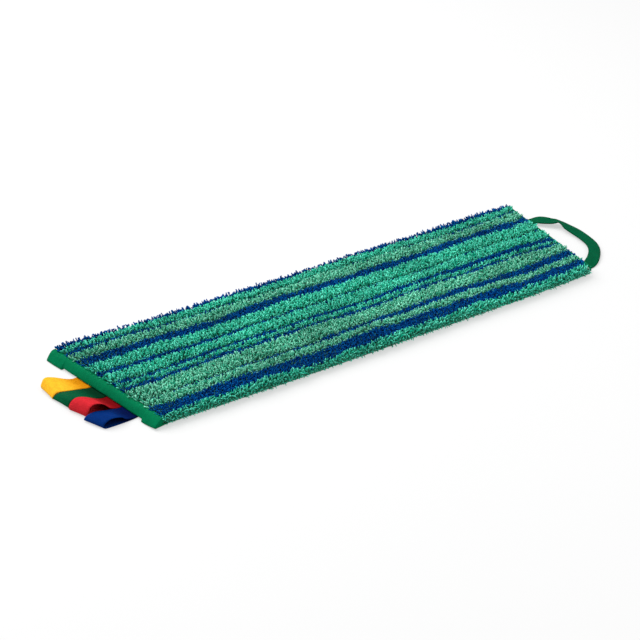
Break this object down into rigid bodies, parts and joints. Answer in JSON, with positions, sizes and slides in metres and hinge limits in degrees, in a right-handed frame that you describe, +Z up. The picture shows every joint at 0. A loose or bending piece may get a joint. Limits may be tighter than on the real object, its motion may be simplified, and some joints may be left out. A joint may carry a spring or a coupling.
{
  "type": "flat mop pad",
  "caption": "Rectangular microfibre mop pad with striped twisted-loop pile, taped ends, colour-coding ribbon tabs and a tape loop to hang it by.",
  "frame": {"origin": "centre of the loop face on the underside, where a mop frame grips the pad", "axes": "+X along the pad towards the hanging loop, +Y across it towards the longer side, +Z up, towards the pile"},
  "size_m": [0.5349, 0.145, 0.0114],
  "materials": {
    "pile_blue": "twisted microfibre yarn loops, royal blue",
    "pile_mint": "twisted microfibre yarn loops, mint green",
    "pile_sage": "twisted microfibre yarn loops, sage green",
    "ground_cloth": "knitted ground cloth",
    "wadding": "needled polyester wadding",
    "loop_fleece": "brushed loop fabric that hook tape grips",
    "binding_tape": "woven polyester tape",
    "hanging_tape": "folded woven polyester tape",
    "thread": "twisted polyester sewing thread",
    "ribbon_yellow": "fine ribbed woven ribbon",
    "ribbon_green": "fine ribbed woven ribbon",
    "ribbon_red": "fine ribbed woven ribbon",
    "ribbon_blue": "fine ribbed woven ribbon"
  },
  "bodies": {
    "pad": {"absorbent_core": "wadding", "base_cloth": "ground_cloth", "blue_tab_tail": "ribbon_blue", "green_tab_tail": "ribbon_green", "hanging_loop_corner_tail": "hanging_tape", "hanging_loop_stitching": "thread", "hanging_loop_tail": "hanging_tape", "hem_stitching": "thread", "loop_backing": "loop_fleece", "loop_end_binding": "binding_tape", "loop_end_binding_stitching": "thread", "pile_row_01_blue": "pile_blue", "pile_row_02_mint": "pile_mint", "pile_row_03_blue": "pile_blue", "pile_row_04_sage": "pile_sage", "pile_row_05_blue": "pile_blue", "pile_row_06_mint": "pile_mint", "pile_row_07_blue": "pile_blue", "pile_row_08_mint": "pile_mint", "pile_row_09_blue": "pile_blue", "pile_row_10_mint": "pile_mint", "pile_row_11_blue": "pile_blue", "pile_row_12_sage": "pile_sage", "pile_row_13_blue": "pile_blue", "pile_row_14_sage": "pile_sage", "pile_row_15_blue": "pile_blue", "pile_row_16_mint": "pile_mint", "red_tab_tail": "ribbon_red", "tab_end_binding": "binding_tape", "tab_end_binding_stitching": "thread", "tab_stitching": "thread", "yellow_tab_tail": "ribbon_yellow"},
    "yellow_tab": {"yellow_tab": "ribbon_yellow"},
    "green_tab": {"green_tab": "ribbon_green"},
    "red_tab": {"red_tab": "ribbon_red"},
    "blue_tab": {"blue_tab": "ribbon_blue"},
    "hanging_loop": {"hanging_loop": "hanging_tape"}
  },
  "joints": [
    {"name": "yellow_tab_flip", "type": "hinge", "parent": "pad", "child": "yellow_tab", "pos_m": [-0.23679, 0.02524, -0.0014], "axis": [-0.0698, 0.9976, 0], "range_deg": [-90, 90]},
    {"name": "green_tab_flip", "type": "hinge", "parent": "pad", "child": "green_tab", "pos_m": [-0.23539, 0.00529, -0.0014], "axis": [-0.0698, 0.9976, 0], "range_deg": [-90, 90]},
    {"name": "red_tab_flip", "type": "hinge", "parent": "pad", "child": "red_tab", "pos_m": [-0.234, -0.01466, -0.0014], "axis": [-0.0698, 0.9976, 0], "range_deg": [-90, 90]},
    {"name": "blue_tab_flip", "type": "hinge", "parent": "pad", "child": "blue_tab", "pos_m": [-0.2326, -0.03461, -0.0014], "axis": [-0.0698, 0.9976, 0], "range_deg": [-90, 90]},
    {"name": "hanging_loop_flip", "type": "hinge", "parent": "pad", "child": "hanging_loop", "pos_m": [0.23559, -0.00625, -0.0016], "axis": [-0.0698, -0.9976, 0], "range_deg": [-90, 100]}
  ]
}
